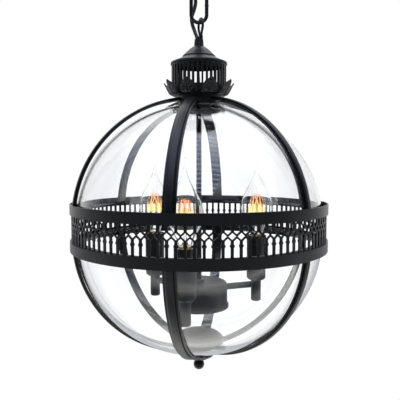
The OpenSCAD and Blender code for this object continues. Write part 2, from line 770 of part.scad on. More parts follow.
module lower_band() {
    color(black_metal) at_globe() difference() {
        upright_tube(2 * band_r, 2 * band_in_r, -band_edge, -window_h / 2);
        at_screws() translate([0, 0, band_in_r - 1]) cylinder(d = screw_d + 4 * fit_gap, h = band_t + 2);
        at_screws() translate([0, 0, band_r - band_t + 0.3])
            cylinder(d1 = screw_d, d2 = screw_head_d + 1.2, h = band_t);
    }
}

module upper_ledge() {
    inner_r = seat_r - ledge_w;
    color(black_metal) at_globe() union() {
        upright_tube(2 * seat_r, 2 * inner_r, gallery_edge, ledge_edge);
        for (i = [0:rib_n - 1])
            turned(rib_az + (i + 0.5) * 360 / rib_n)
                translate([seat_r - 9.7, -keeper_w / 2, ledge_edge - 0.5]) cube([1.8, keeper_w, keeper_h + 0.5]);
    }
}

module lower_ledge() {
    inner_r = seat_r - ledge_w;
    color(black_metal) at_globe() difference() {
        union() {
            upright_tube(2 * seat_r, 2 * inner_r, -ledge_edge, -gallery_edge);
            intersection() {
                upright_tube(2 * seat_r, 2 * (seat_r - tab_t), -ledge_edge - 2 * keeper_h, -gallery_edge - 0.5);
                for (i = [0:2])
                    turned(rib_az + 180 / rib_n + 60 + i * 120)
                        translate([seat_r - tab_t - 1, -keeper_w / 2, -ledge_edge - 2 * keeper_h - 1])
                            cube([tab_t + 3, keeper_w, 2 * keeper_h + 2]);
            }
        }
        at_screws() translate([0, 0, seat_r - tab_t - 1]) cylinder(d = screw_d + 2 * fit_gap, h = tab_t + 2);
    }
}

module band_screws() {
    color(black_metal) at_globe() at_screws() union() {
        translate([0, 0, seat_r - tab_t]) cylinder(d = screw_d, h = tab_t + band_t - 0.4);
        translate([0, 0, band_r - band_t + 0.4]) cylinder(d1 = screw_d, d2 = screw_head_d, h = band_t - 0.4);
    }
}

// The gallery: columns, a row of X bars with diamonds, and short posts at the top.
// It is two half rings with a plain post at each joint, and the back one stands upside down.
column_pitch = 2 * PI * (band_in_r - gallery_t) / column_n;
arch_half = (column_pitch - column_w) / 2;
waist_half = (column_pitch - column_bead_w) / 2;
bar_slope = diamond_h / ((column_pitch - diamond_gap) / 2);
arch_floor = -window_h / 2 + edge_strip;
shield_top = window_h / 2 - edge_strip;
arch_shape = [
    [-arch_half, arch_floor], [arch_half, arch_floor], [arch_half, column_bead_z - 1.4],
    [waist_half, column_bead_z - 0.7], [waist_half, column_bead_z + 0.7], [arch_half, column_bead_z + 1.4],
    [arch_half, cross_z - point_gap - arch_half * bar_slope], [0, cross_z - point_gap],
    [-arch_half, cross_z - point_gap - arch_half * bar_slope], [-arch_half, column_bead_z + 1.4],
    [-waist_half, column_bead_z + 0.7], [-waist_half, column_bead_z - 0.7], [-arch_half, column_bead_z - 1.4]
];
shield_shape = [
    [0, cross_z + point_gap], [arch_half, cross_z + point_gap + arch_half * bar_slope],
    [arch_half, shield_top], [-arch_half, shield_top],
    [-arch_half, cross_z + point_gap + arch_half * bar_slope]
];
diamond_shape = [
    [(column_pitch - diamond_gap) / 2, cross_z], [0, cross_z + diamond_h],
    [-(column_pitch - diamond_gap) / 2, cross_z], [0, cross_z - diamond_h]
];

// 1 in front, -1 behind, nothing at the two joints
function gallery_half(i) = let (side = cos(i * 360 / column_n)) abs(side) < 0.02 ? [] : side > 0 ? 1 : -1;

module gallery() {
    from_r = seat_r - gallery_t - 1;
    depth = gallery_t + 2;
    color(black_metal) at_globe() difference() {
        upright_tube(2 * seat_r, 2 * (seat_r - gallery_t), -gallery_edge, gallery_edge);
        for (i = [0:column_n - 1], half = gallery_half(i))
            mirror([0, 0, half > 0 ? 0 : 1]) {
                turned(column_az + i * 360 / column_n) radial_cut(diamond_shape, from_r, depth);
                if (gallery_half(i + 1) == half) turned(column_az + (i + 0.5) * 360 / column_n) {
                    radial_cut(arch_shape, from_r, depth);
                    radial_cut(shield_shape, from_r, depth);
                }
            }
    }
}

module rib_hub_ring() {
    color(black_metal) upright_tube(2 * foot_ring_r, rod_d + 4 * seat_gap, foot_ring_z, foot_ring_top);
}

module hub_body() {
    color(black_metal) difference() {
        upright_tube(hub_d, hub_d - 2 * hub_t, hub_floor_z, lid_z);
        for (i = [0:2])
            turned(arm_az + 120 * i) translate([hub_d / 2 - hub_t - 2, 0, arm_z]) rotate([0, 90, 0])
                cylinder(d = arm_d + 2 * fit_gap, h = hub_t + 4);
    }
}

module hub_lid() {
    edge = hub_d / 2;
    path = [
        [stem_hole_d / 2, lid_top],
        for (a = [0:15:90]) [edge - lid_round * (1 - sin(a)), lid_top - lid_round * (1 - cos(a))],
        [edge, lid_z]
    ];
    color(black_metal) spun_sheet(path, hub_t);
}

module hub_base() {
    foot_r = hub_base_d / 2;
    color(black_metal) rotate_extrude() polygon([
        [0, hub_base_z], [foot_r, hub_base_z], [foot_r, hub_base_z + 2.6], [foot_r - 0.6, hub_base_z + 3.4],
        [hub_d / 2 + 0.2, hub_floor_z - 0.6], [hub_d / 2, hub_floor_z], [hub_d / 2 - 3, hub_floor_z],
        [foot_r - 3.2, hub_base_z + 1.6], [0, hub_base_z + 1.6]
    ]);
}

module hub_block() {
    color(cream) translate([-block_l / 2, -block_w / 2, hub_base_z + 1.6])
        cube([block_l, block_w, hub_floor_z - hub_base_z + 1]);
}

// The leads run from the cord down the stem to the hub block, and out along the arms.
// Each bend is a ball a little thicker than the lead.
module lead_bend(p) { translate(p) sphere(d = lead_d + 0.4); }

module lead_wires() {
    neck_end = [cord_x, 0, cap_z - spigot_l - 0.8];
    stem_end = [0, 0, stem_top + 1];
    color(black_metal) union() {
        translate([cord_x, 0, 0]) upright_rod(lead_d, neck_end.z, neck_z - 0.1);
        lead_bend(neck_end);
        bar_between(neck_end, stem_end, lead_d);
        lead_bend(stem_end);
        upright_rod(lead_d, hub_floor_z + 2.6, stem_end.z);
        lead_bend([0, 0, arm_z]);
        for (i = [0:2]) turned(arm_az + 120 * i) {
            bar_between([0, 0, arm_z], [arm_reach, 0, arm_z], arm_lead_d);
            lead_bend([arm_reach, 0, arm_z]);
            translate([arm_reach, 0, 0]) upright_rod(arm_lead_d, arm_z, holder_z + 4);
        }
    }
}

module arm(i) {
    from_r = hub_d / 2 - hub_t - arm_nut_h - 0.6;
    color(black_metal) turned(arm_az + 120 * i) difference() {
        union() {
            translate([from_r, 0, arm_z]) rotate([0, 90, 0]) cylinder(d = arm_d, h = arm_reach - from_r);
            translate([arm_reach, 0, 0]) upright_rod(stub_d, arm_z - stub_below + 1, cup_z);
            translate([arm_reach, 0, arm_z - stub_below]) cylinder(d1 = stub_d - 2, d2 = stub_d, h = 1);
            translate([arm_reach, 0, 0]) upright_rod(spigot_arm_d, cup_z - 1, holder_z + 4);
        }
        translate([from_r - 1, 0, arm_z]) rotate([0, 90, 0]) cylinder(d = arm_bore, h = arm_reach - from_r + 1);
        translate([arm_reach, 0, 0]) upright_rod(arm_bore, arm_z - arm_bore / 2, holder_z + 5);
    }
}

module arm_1() { arm(0); }
module arm_2() { arm(1); }
module arm_3() { arm(2); }

module at_candle(i) { turned(arm_az + 120 * i) translate([arm_reach, 0, 0]) children(); }

module candle_cup(i) {
    r = cup_d / 2;
    floor_t = 2.5;
    color(black_metal) at_candle(i) rotate_extrude() polygon([
        [spigot_arm_d / 2 + fit_gap, cup_z], [r - 2, cup_z], [r, cup_z + 2], [r, sleeve_z],
        [r - 1.2, sleeve_z], [r - 1.2, cup_z + floor_t], [spigot_arm_d / 2 + fit_gap, cup_z + floor_t]
    ]);
}

module candle_cup_1() { candle_cup(0); }
module candle_cup_2() { candle_cup(1); }
module candle_cup_3() { candle_cup(2); }

module candle_sleeves() {
    for (i = [0:2])
        color(black_metal) at_candle(i) upright_tube(sleeve_d, sleeve_d - 2 * sleeve_t, sleeve_z, sleeve_z + sleeve_h);
}

// A lampholder: a threaded well for the bulb, and a socket below for the arm's spigot
module lampholders() {
    well_r = cap_thread_d / 2 + 0.08;
    for (i = [0:2])
        color(cream) at_candle(i) difference() {
            upright_rod(holder_d, holder_z, holder_top);
            upright_rod(2 * well_r, thread_z - 1.3, holder_top + 1);
            upright_rod(spigot_arm_d + 2 * fit_gap, holder_z - 1, holder_z + 4 + seat_gap);
        }
}

// Radius of the bulb at a height above its neck
function bulb_r(h) =
    h < bulb_belly_h
    ? mix(bulb_neck_r, bulb_d / 2, (1 - cos(180 * h / bulb_belly_h)) / 2)
    : let (u = (h - bulb_belly_h) / bulb_tip_h)
      bulb_d / 2 * pow(max(0, cos(90 * u)), 2.7) + 1.6 * u * sqrt(max(0, 1 - u));

module bulb_glass(i) {
    low_shares = [for (k = [0:8]) bulb_belly_h * k / 8];
    high_shares = [for (k = [1:11]) bulb_belly_h + bulb_tip_h * k / 12];
    heights = concat(low_shares, high_shares);
    tip = bulb_belly_h + bulb_tip_h;
    outer = [for (h = heights) [bulb_r(h), h]];
    inner = [for (h = heights) if (bulb_r(h) > bulb_t + 0.3) [bulb_r(h) - bulb_t, h]];
    color(clear) at_candle(i) translate([0, 0, bulb_neck_z]) rotate_extrude() polygon(concat(
        outer, [[0.4, tip - 1], [0, tip - 0.6]], [[0, inner[len(inner) - 1].y + 1.2]], reversed(inner)
    ));
}

module bulb_glass_1() { bulb_glass(0); }
module bulb_glass_2() { bulb_glass(1); }
module bulb_glass_3() { bulb_glass(2); }

// A bulb's screw base with its end contact, and the stem and filament inside the glass
module bulb_base(i) {
    r = cap_thread_d / 2;
    color(brass) at_candle(i) union() {
        upright_rod(cap_thread_d, thread_z, bulb_neck_z);
        upright_rod(cap_thread_d / 2, thread_z - 1, thread_z + 1);
        translate([0, 0, bulb_neck_z - 1]) cylinder(d = stem_glass_d, h = stem_glass_h);
        for (side = [-1, 1]) {
            bar_between([side, 0, bulb_neck_z + stem_glass_h - 2], [side * filament_r, 0, filament_z], 0.8);
            bar_between([side * filament_r, 0, filament_z], [0, 0, filament_z + filament_h], 0.8);
        }
    }
}

module bulb_base_1() { bulb_base(0); }
module bulb_base_2() { bulb_base(1); }
module bulb_base_3() { bulb_base(2); }

module bottom_cap() {
    r = foot_cap_d / 2;
    wall = 1.2;
    dome_h = foot_cap_h - 2;
    path = [
        for (a = [10:10:90]) [r * sin(a), foot_cap_rim + 2 + dome_h * cos(a)],
        [r, foot_cap_rim]
    ];
    color(black_metal) difference() {
        union() {
            spun_sheet(path, wall);
            upright_rod(2 * r * sin(10) + 0.4, foot_cap_rim + 2 + dome_h * cos(10) - wall, path[0].y);
            upright_rod(foot_boss_d, rod_top - 7, path[0].y - wall / 2);
        }
        upright_rod(rod_d + 2 * fit_gap, rod_top - 8, rod_top + 0.2);
    }
}

module clamp_rod() { color(black_metal) upright_rod(rod_d, rod_low, rod_top); }

module finial_dish() {
    r = dish_d / 2;
    boss_r = dish_boss_d / 2;
    path = [
        [r, dish_top],
        for (u = [0.15:0.17:1]) [mix(r, boss_r, pow(u, 1.4)), dish_top - dish_h * pow(u, 0.6)]
    ];
    color(black_metal) difference() {
        union() {
            spun_sheet(path, 1.2);
            upright_rod(dish_boss_d, dish_low, foot_ring_z);
        }
        upright_rod(rod_d + 4 * seat_gap, dish_low - 2, foot_ring_z + 1);
    }
}

module ball_finial() {
    color(black_metal) difference() {
        translate([0, 0, ball_z]) sphere(d = ball_d);
        upright_rod(ball_d, dish_low - seat_gap, dish_low + ball_d);
        upright_rod(rod_d + 2 * fit_gap, rod_low - 1, dish_low + 1);
    }
}

ceiling_crossbar();
crossbar_nipple();
nipple_locknuts();
terminal_block();
canopy();
canopy_loop();
cord_bushing();
screw_collar();
chain_link_3();
chain_link_2();
chain_link_1();
cord_1();
cord_2();
cord_3();
cord_4();
top_eye();
crown_neck();
crown_cap();
crown_grille();
crown_base();
leaf_coronet();
crown_collar();
crown_plate();
hex_nuts();
centre_stem();
upper_glass();
lower_glass();
upper_ribs();
lower_ribs();
upper_band();
lower_band();
upper_ledge();
lower_ledge();
gallery();
band_screws();
rib_hub_ring();
hub_body();
hub_lid();
hub_base();
hub_block();
lead_wires();
arm_1();
arm_2();
arm_3();
candle_cup_1();
candle_cup_2();
candle_cup_3();
candle_sleeves();
lampholders();
bulb_glass_1();
bulb_glass_2();
bulb_glass_3();
bulb_base_1();
bulb_base_2();
bulb_base_3();
bottom_cap();
clamp_rod();
finial_dish();
ball_finial();
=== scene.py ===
"""Pendant lamp: a clear glass globe in a black ribbed cage, hung from a chain with its cord.

The file follows the lamp as it is put together, from the ceiling down to the ball finial.
Lengths are millimetres where a name ends in _mm, and metres everywhere else.
"""
import math

import bmesh
import bpy
import numpy as np
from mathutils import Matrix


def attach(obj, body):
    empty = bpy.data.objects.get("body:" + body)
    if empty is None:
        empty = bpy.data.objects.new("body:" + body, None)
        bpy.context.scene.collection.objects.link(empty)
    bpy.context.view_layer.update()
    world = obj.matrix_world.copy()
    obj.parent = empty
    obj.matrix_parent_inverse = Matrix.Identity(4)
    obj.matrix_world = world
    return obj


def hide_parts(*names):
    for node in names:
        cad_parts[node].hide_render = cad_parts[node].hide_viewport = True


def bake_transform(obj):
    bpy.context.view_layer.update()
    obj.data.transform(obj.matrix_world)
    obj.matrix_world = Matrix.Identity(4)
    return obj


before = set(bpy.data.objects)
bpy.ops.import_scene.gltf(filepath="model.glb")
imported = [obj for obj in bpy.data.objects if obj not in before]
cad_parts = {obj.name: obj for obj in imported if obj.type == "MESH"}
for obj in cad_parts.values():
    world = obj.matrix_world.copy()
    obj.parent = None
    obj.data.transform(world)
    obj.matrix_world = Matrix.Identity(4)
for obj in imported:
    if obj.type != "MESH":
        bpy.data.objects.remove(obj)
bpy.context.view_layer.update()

# Camera
# A normal lens a little over half a metre in front of the globe and above its middle, looking slightly down,
# as the photograph has it. The globe's middle is the one level that later sections share.
globe_z = -0.352264
camera_distance = 0.525
camera_rise = 0.06004
camera_tilt = 0.066
frame_px = 400
focal_px = 496.7
axis_offset_px = 1.08
sensor_mm = 36

camera_data = bpy.data.cameras.new("camera")
camera_data.sensor_width = sensor_mm
camera_data.lens = sensor_mm * focal_px / frame_px
camera_data.shift_x = axis_offset_px / frame_px
camera_data.clip_start = 0.01
camera = bpy.data.objects.new("camera", camera_data)
camera.location = (0, -camera_distance, globe_z + camera_rise)
camera.rotation_euler = (math.pi / 2 - camera_tilt, 0, 0)
bpy.context.scene.collection.objects.link(camera)
bpy.context.scene.camera = camera
bpy.context.scene.view_settings.view_transform = "Standard"


# Cord
# A round three-core lead in a matt black rubber sheath, woven down through the chain from the canopy to the
# neck. It is one length; here it is drawn in four stretches, one for each place where the chain can bend.
def hex_colour(text):
    """Turns a six digit sRGB value into linear red, green, blue and full alpha."""
    srgb = np.array([int(text[i:i + 2], 16) / 255 for i in (0, 2, 4)])
    linear = np.where(srgb <= 0.04045, srgb / 12.92, ((srgb + 0.055) / 1.055) ** 2.4)
    return (*[float(v) for v in linear], 1.0)


def add_node(tree, kind, links=None, **settings):
    """Adds a node, sets its properties or its sockets' values by name, and links its inputs."""
    node = tree.nodes.new(kind)
    for name, value in settings.items():
        if hasattr(node, name):
            setattr(node, name, value)
        else:
            node.inputs[name.replace("_", " ")].default_value = value
    for name, source in (links or {}).items():
        tree.links.new(source, node.inputs[name])
    return node


def new_material(name):
    """An empty material with its output node, and the object's own coordinates to draw patterns on."""
    material = bpy.data.materials.new(name)
    material.use_nodes = True
    tree = material.node_tree
    tree.nodes.clear()
    output = tree.nodes.new("ShaderNodeOutputMaterial")
    place = tree.nodes.new("ShaderNodeTexCoord")
    return material, tree, output, place.outputs["Object"]


def grid_faces(rows, columns, closed_rows=False, closed_columns=False):
    """Four-cornered faces of a grid of points, joined round where a direction is closed."""
    i, j = np.meshgrid(
        np.arange(rows if closed_rows else rows - 1),
        np.arange(columns if closed_columns else columns - 1),
        indexing="ij",
    )
    up = (i + 1) % rows
    along = (j + 1) % columns
    corners = [i * columns + j, i * columns + along, up * columns + along, up * columns + j]
    return np.stack([c.ravel() for c in corners], axis=1)


def facing_out(points, faces):
    """Turns the faces round where the volume that they enclose, summed over triangles, is negative."""
    flat = points.reshape(-1, 3) - points.reshape(-1, 3).mean(axis=0)
    a, b, c, d = (flat[faces[:, k]] for k in range(4))
    volume = np.einsum("ij,ij->i", a, np.cross(b, c) + np.cross(c, d)).sum()
    return faces[:, ::-1] if volume < 0 else faces


def new_piece(name, points, faces, body, material, slot, smooth=True):
    """Makes a mesh from points in metres, with its body and its finish; the slot argument is not used."""
    if faces.ndim == 2:
        faces = facing_out(points, faces)
    mesh = bpy.data.meshes.new(name)
    mesh.from_pydata(points.reshape(-1, 3).tolist(), [], faces.tolist())
    welded = bmesh.new()
    welded.from_mesh(mesh)
    bmesh.ops.remove_doubles(welded, verts=welded.verts, dist=1e-7)
    welded.to_mesh(mesh)
    welded.free()
    mesh.polygons.foreach_set("use_smooth", [smooth] * len(mesh.polygons))
    mesh.validate()
    mesh.update()
    piece = bpy.data.objects.new(name, mesh)
    bpy.context.scene.collection.objects.link(piece)
    mesh.materials.append(material)
    if body:
        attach(piece, body)
    return piece


def smooth_path(points, steps):
    """A curve through every point, each span a cubic whose end directions are the neighbours' chord."""
    padded = np.vstack([2 * points[0] - points[1], points, 2 * points[-1] - points[-2]])
    t = np.linspace(0, 1, steps, endpoint=False)[:, None]
    spans = []
    for a, b, c, d in zip(padded[:-3], padded[1:-2], padded[2:-1], padded[3:]):
        pull = 2 * b + (c - a) * t + (2 * a - 5 * b + 4 * c - d) * t**2 + (3 * b - a - 3 * c + d) * t**3
        spans.append(pull / 2)
    return np.vstack([*spans, points[-1:]])


def tube_points(path, radius, sides):
    """A ring of points round each point of a path, square to it, with no twist from ring to ring."""
    ahead = np.gradient(path, axis=0)
    ahead /= np.linalg.norm(ahead, axis=1)[:, None]
    side = np.cross(ahead, [0.0, 1.0, 0.0])
    side /= np.linalg.norm(side, axis=1)[:, None]
    lift = np.cross(ahead, side)
    angle = np.linspace(0, 2 * math.pi, sides, endpoint=False)[None, :, None]
    return path[:, None, :] + radius * (side[:, None, :] * np.cos(angle) + lift[:, None, :] * np.sin(angle))


def closed_tube(path, radius, sides):
    """Points and faces of a tube along a path, with both ends closed by a fan round the path's end point."""
    rings = tube_points(path, radius, sides)
    points = np.vstack([rings.reshape(-1, 3), path[0], path[-1]])
    around = np.arange(sides)
    beyond = (around + 1) % sides
    last = (len(path) - 1) * sides
    top_fan = np.stack([np.full(sides, last + sides), around, beyond], axis=1)
    low_fan = np.stack([np.full(sides, last + sides + 1), last + beyond, last + around], axis=1)
    wall = grid_faces(len(path), sides, closed_columns=True)[:, ::-1]
    faces = np.empty(len(wall) + 2 * sides, dtype=object)
    faces[:] = [*wall.tolist(), *top_fan.tolist(), *low_fan.tolist()]
    return points, faces


rubber, tree, output, place = new_material("moulded_rubber_sheath")
# Moulded rubber: nearly black, a broad soft sheen, and a faint bloom in patches about 6 mm across
bloom = add_node(tree, "ShaderNodeTexNoise", {"Vector": place}, Scale=160.0, Detail=3.0)
tint = add_node(tree, "ShaderNodeMix", {"Factor": bloom.outputs["Fac"]}, data_type="RGBA")
tint.inputs["A"].default_value = hex_colour("17181a")
tint.inputs["B"].default_value = hex_colour("242529")
grain = add_node(tree, "ShaderNodeTexNoise", {"Vector": place}, Scale=1600.0, Detail=2.0)
bump = add_node(tree, "ShaderNodeBump", {"Height": grain.outputs["Fac"]}, Strength=0.2, Distance=0.0002)
shader = add_node(
    tree, "ShaderNodeBsdfPrincipled",
    {"Base Color": tint.outputs["Result"], "Normal": bump.outputs["Normal"]}, Roughness=0.46,
)
tree.links.new(shader.outputs["BSDF"], output.inputs["Surface"])

cord_d = 0.0038
cord_route_mm = np.array([
    [-24, 0, -14], [-24, 0, -20], [-24, 0, -28], [-21, 2, -36], [-15, 5, -44], [-9, 6.5, -52],
    [-3, 5.5, -60], [0.5, 0, -66], [5, -4, -73], [8, -5.5, -81], [6, -2.5, -89], [0, 0, -96],
    [-6, 3, -103], [-6, 5, -111], [-3.5, 5.5, -119], [-4.5, 5.2, -127], [-7.5, 4.6, -136],
    [-7, 4.2, -143], [-4.5, 2.5, -151], [-2, 0.3, -158], [-1.75, 0, -160],
])
cord_steps = 6
cord_sides = 16
cord_line = smooth_path(cord_route_mm / 1000, cord_steps)
cord_stretches = [
    ("cord_1", 0, 7, "mounting", "link_3", -0.0527),
    ("cord_2", 7, 11, "link_3", "link_2", -0.0828),
    ("cord_3", 11, 15, "link_2", "link_1", -0.1129),
    ("cord_4", 15, 20, "link_1", "lamp", -0.1430),
]
for node, first, last, upper, lower, pivot in cord_stretches:
    line = cord_line[first * cord_steps:last * cord_steps + 1]
    tube = closed_tube(line, cord_d / 2, cord_sides)
    piece = new_piece("sheath_" + node, *tube, None, rubber, "black_rubber")
    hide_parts(node)
    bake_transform(piece)


# Ceiling fixing
# A zinc plated crossbar, nipple and lock nuts carry the canopy, and a cream plastic block joins the wires.
# The canopy, its hanging ring and the screw collar are spun and turned steel in a satin black lacquer.
def mottled_metal(name, dark, light, patch_mm, roughness, metallic, grain_mm, relief, specular=0.5):
    """A finish whose colour drifts between two tones in patches, with a fine grain in relief and gloss."""
    gloss_spread = 0.06
    material, tree, output, place = new_material(name)
    patch = add_node(tree, "ShaderNodeTexNoise", {"Vector": place}, Scale=1000 / patch_mm, Detail=4.0)
    tone = add_node(tree, "ShaderNodeMix", {"Factor": patch.outputs["Fac"]}, data_type="RGBA")
    tone.inputs["A"].default_value = hex_colour(dark)
    tone.inputs["B"].default_value = hex_colour(light)
    grain = add_node(tree, "ShaderNodeTexNoise", {"Vector": place}, Scale=1000 / grain_mm, Detail=3.0)
    gloss = add_node(tree, "ShaderNodeMapRange", {"Value": grain.outputs["Fac"]})
    gloss.inputs["To Min"].default_value = roughness - gloss_spread
    gloss.inputs["To Max"].default_value = roughness + gloss_spread
    bump = add_node(
        tree, "ShaderNodeBump", {"Height": grain.outputs["Fac"]}, Strength=relief, Distance=0.0002,
    )
    shader = add_node(
        tree, "ShaderNodeBsdfPrincipled",
        {
            "Base Color": tone.outputs["Result"],
            "Roughness": gloss.outputs["Result"],
            "Normal": bump.outputs["Normal"],
        },
        Metallic=metallic, Specular_IOR_Level=specular,
    )
    tree.links.new(shader.outputs["BSDF"], output.inputs["Surface"])
    return material


def dress(material, *nodes):
    """Gives CAD nodes their finish, with the shape left as it is."""
    for node in nodes:
        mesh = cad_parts[node].data
        if len(mesh.materials):
            mesh.materials[0] = material
        else:
            mesh.materials.append(material)


# Satin black lacquer on steel: near black with a soft, slightly cool sheen; its grain is drawn at 1.5 mm
lacquer = mottled_metal("satin_black_lacquer", "0b0c0e", "131417", 40, 0.33, 0.0, 1.5, 0.06, specular=0.3)
# Electroplated zinc: pale and slightly blue, with cloudy crystals about 3 mm across
zinc = mottled_metal("zinc_plate", "8f9499", "b9bcbd", 3, 0.34, 1.0, 0.8, 0.05)
# Moulded thermoplastic: cream, with a fine matt grain
cream_plastic = mottled_metal("cream_thermoplastic", "ddd6c4", "e9e3d4", 8, 0.5, 0.0, 0.8, 0.08)

dress(zinc, "ceiling_crossbar", "crossbar_nipple", "nipple_locknuts", "hex_nuts")
dress(cream_plastic, "terminal_block", "hub_block", "lampholders")
dress(lacquer, "canopy", "canopy_loop", "screw_collar")
dress(rubber, "cord_bushing", "lead_wires")


# Chain
# Three oval links of round steel wire, bent and butt welded, with the same black lacquer over the weld.
# The weld shows as a low collar half way down one side of each link.
def turned_points(profile, segments):
    """Points of a profile of radius and height, swept round the upright axis from the front."""
    angle = np.linspace(0, 2 * math.pi, segments, endpoint=False)[:, None]
    radius = profile[None, :, 0]
    height = np.broadcast_to(profile[None, :, 1], (segments, len(profile)))
    return np.stack([radius * np.sin(angle), -radius * np.cos(angle), height], axis=2)


def turned_piece(name, profile_mm, segments, middle, body, material, slot, joined=False, smooth=True):
    """A profile swept round the upright axis through a point in metres; a joined one closes on itself."""
    rings = turned_points(profile_mm / 1000, segments) + np.array(middle)
    faces = grid_faces(segments, len(profile_mm), True, joined)
    return new_piece(name, rings, faces, body, material, slot, smooth=smooth)


dress(lacquer, "chain_link_3", "chain_link_2", "chain_link_1")
link_seams = [
    ("link_3", (0.0080, 0, -0.0657)),
    ("link_2", (0, -0.0080, -0.0958)),
    ("link_1", (0.0080, 0, -0.1259)),
]
small_segments = 32
seam_foot_mm = 1.85
seam_rise_mm = 0.30
seam_half_height_mm = 1.3
seam_share = np.linspace(-1, 1, 9)
seam_wall = np.stack([
    seam_foot_mm + seam_rise_mm * (1 - seam_share**4), seam_half_height_mm * seam_share,
], axis=1)
seam_profile = np.vstack([[0.0, -seam_half_height_mm], seam_wall, [0.0, seam_half_height_mm]])
for body, middle in link_seams:
    turned_piece("weld_" + body, seam_profile, small_segments, middle, body, lacquer, "black_metal")


# Crown
# A wire eye and a turned neck stand on a spun cap: a dome with a rolled lip and a hollow flare below it.
# Under it are a drum, a dish, a coronet, a collar and a vented plate, all thin pressings in powder coat.

# Powder coat: near black, softly grained; the grain of 0.1 mm is drawn at 1 mm so that it shows
powder_coat = mottled_metal("black_powder_coat", "0f1012", "1a1b1e", 25, 0.38, 0.0, 1.0, 0.1, specular=0.34)
dress(lacquer, "top_eye")
dress(powder_coat, "crown_neck", "crown_base", "crown_collar", "crown_plate")
cap_top_mm = -167.4
cap_bore_mm = 4.5
dome_from_mm = 5.1
dome_to_mm = 16.8
dome_drop_mm = 9.8
flare_from_mm = 17.0
cap_radius_mm = 29.4
flare_top_mm = -10.9
flare_drop_mm = 6.1
cap_height_mm = 18.8
cap_segments = 128
sheet_mm = 0.6


def thicken(piece, thickness_mm, offset):
    """Gives a surface the thickness of its sheet, inwards for an offset of -1 and to both sides for 0."""
    sheet = piece.modifiers.new("sheet", "SOLIDIFY")
    sheet.thickness = thickness_mm / 1000
    sheet.offset = offset


cap_share = np.linspace(0, 1, 14)[:, None]
dome_line = np.concatenate([
    dome_from_mm + (dome_to_mm - dome_from_mm) * cap_share, -dome_drop_mm * cap_share**1.3,
], axis=1)
lip_line = np.array([[17.25, -10.0], [17.3, -10.25], [17.2, -10.5], [16.7, -10.6], [16.6, -10.75]])
flare_line = np.concatenate([
    flare_from_mm + (cap_radius_mm - flare_from_mm) * cap_share,
    flare_top_mm - flare_drop_mm * cap_share**0.85,
], axis=1)
cap_profile = np.vstack([
    [cap_bore_mm, 0.0], dome_line, lip_line, flare_line, [cap_radius_mm, -cap_height_mm],
])
cap = turned_piece(
    "spun_cap", cap_profile, cap_segments, (0, 0, cap_top_mm / 1000), "lamp", powder_coat, "black_metal",
)
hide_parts("crown_cap")
thicken(cap, sheet_mm, -1.0)


# Grille drum
# Thin sheet rolled to a drum, with 37 upright slots punched in it and a plain band under and over them.
# It is a grid of four levels and three steps across each slot and slat, without the faces in the slots.
drum_radius_mm = 28.5
drum_levels_mm = np.array([-214.7, -208.7, -187.5, -186.0])
slot_level = 1
slot_count = 37
slot_width_mm = 3.0
slot_phase = math.radians(2.2)
slot_pitch = 2 * math.pi / slot_count
half_slot = math.asin(slot_width_mm / 2 / drum_radius_mm)
steps_across = 3
across_slot = np.linspace(-half_slot, half_slot, steps_across, endpoint=False)
across_slat = np.linspace(half_slot, slot_pitch - half_slot, steps_across, endpoint=False)
slot_turn = slot_phase + slot_pitch * np.arange(slot_count)[:, None]
drum_turn = (slot_turn + np.concatenate([across_slot, across_slat])).reshape(-1, 1)
drum_grid = np.stack(np.broadcast_arrays(
    drum_radius_mm * np.sin(drum_turn), -drum_radius_mm * np.cos(drum_turn), drum_levels_mm[None, :],
), axis=2)
drum_faces = grid_faces(len(drum_turn), len(drum_levels_mm), True)
step, level = np.divmod(drum_faces[:, 0], len(drum_levels_mm))
in_slot = (step % (2 * steps_across) < steps_across) & (level == slot_level)
drum = new_piece(
    "slotted_drum", drum_grid / 1000, drum_faces[~in_slot], "lamp", powder_coat, "black_metal", smooth=False,
)
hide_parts("crown_grille")
thicken(drum, sheet_mm, -1.0)


# Coronet
# Nine leaves of thin sheet, pressed with a midrib and side veins, bent outwards round the dish and held by
# a ring under it. Their edges are scalloped and their tips curl out.
collar_top_mm = -218.9
ring_bore_mm = 13.0
ring_radius_mm = 22.0
ring_thickness_mm = 0.9
ring_segments = 96
leaf_line_mm = np.array([
    [20.0, 0.9], [24.0, 0.9], [27.5, 1.2], [30.2, 2.6], [31.9, 5.0], [33.6, 8.2], [35.4, 11.4], [37.9, 14.0],
]) + [0.0, collar_top_mm]
leaf_count = 9
leaf_first_azimuth = 20
leaf_half_width_mm = 8.2
leaf_sheet_mm = 0.7
leaf_rows = 41
leaf_columns = 25


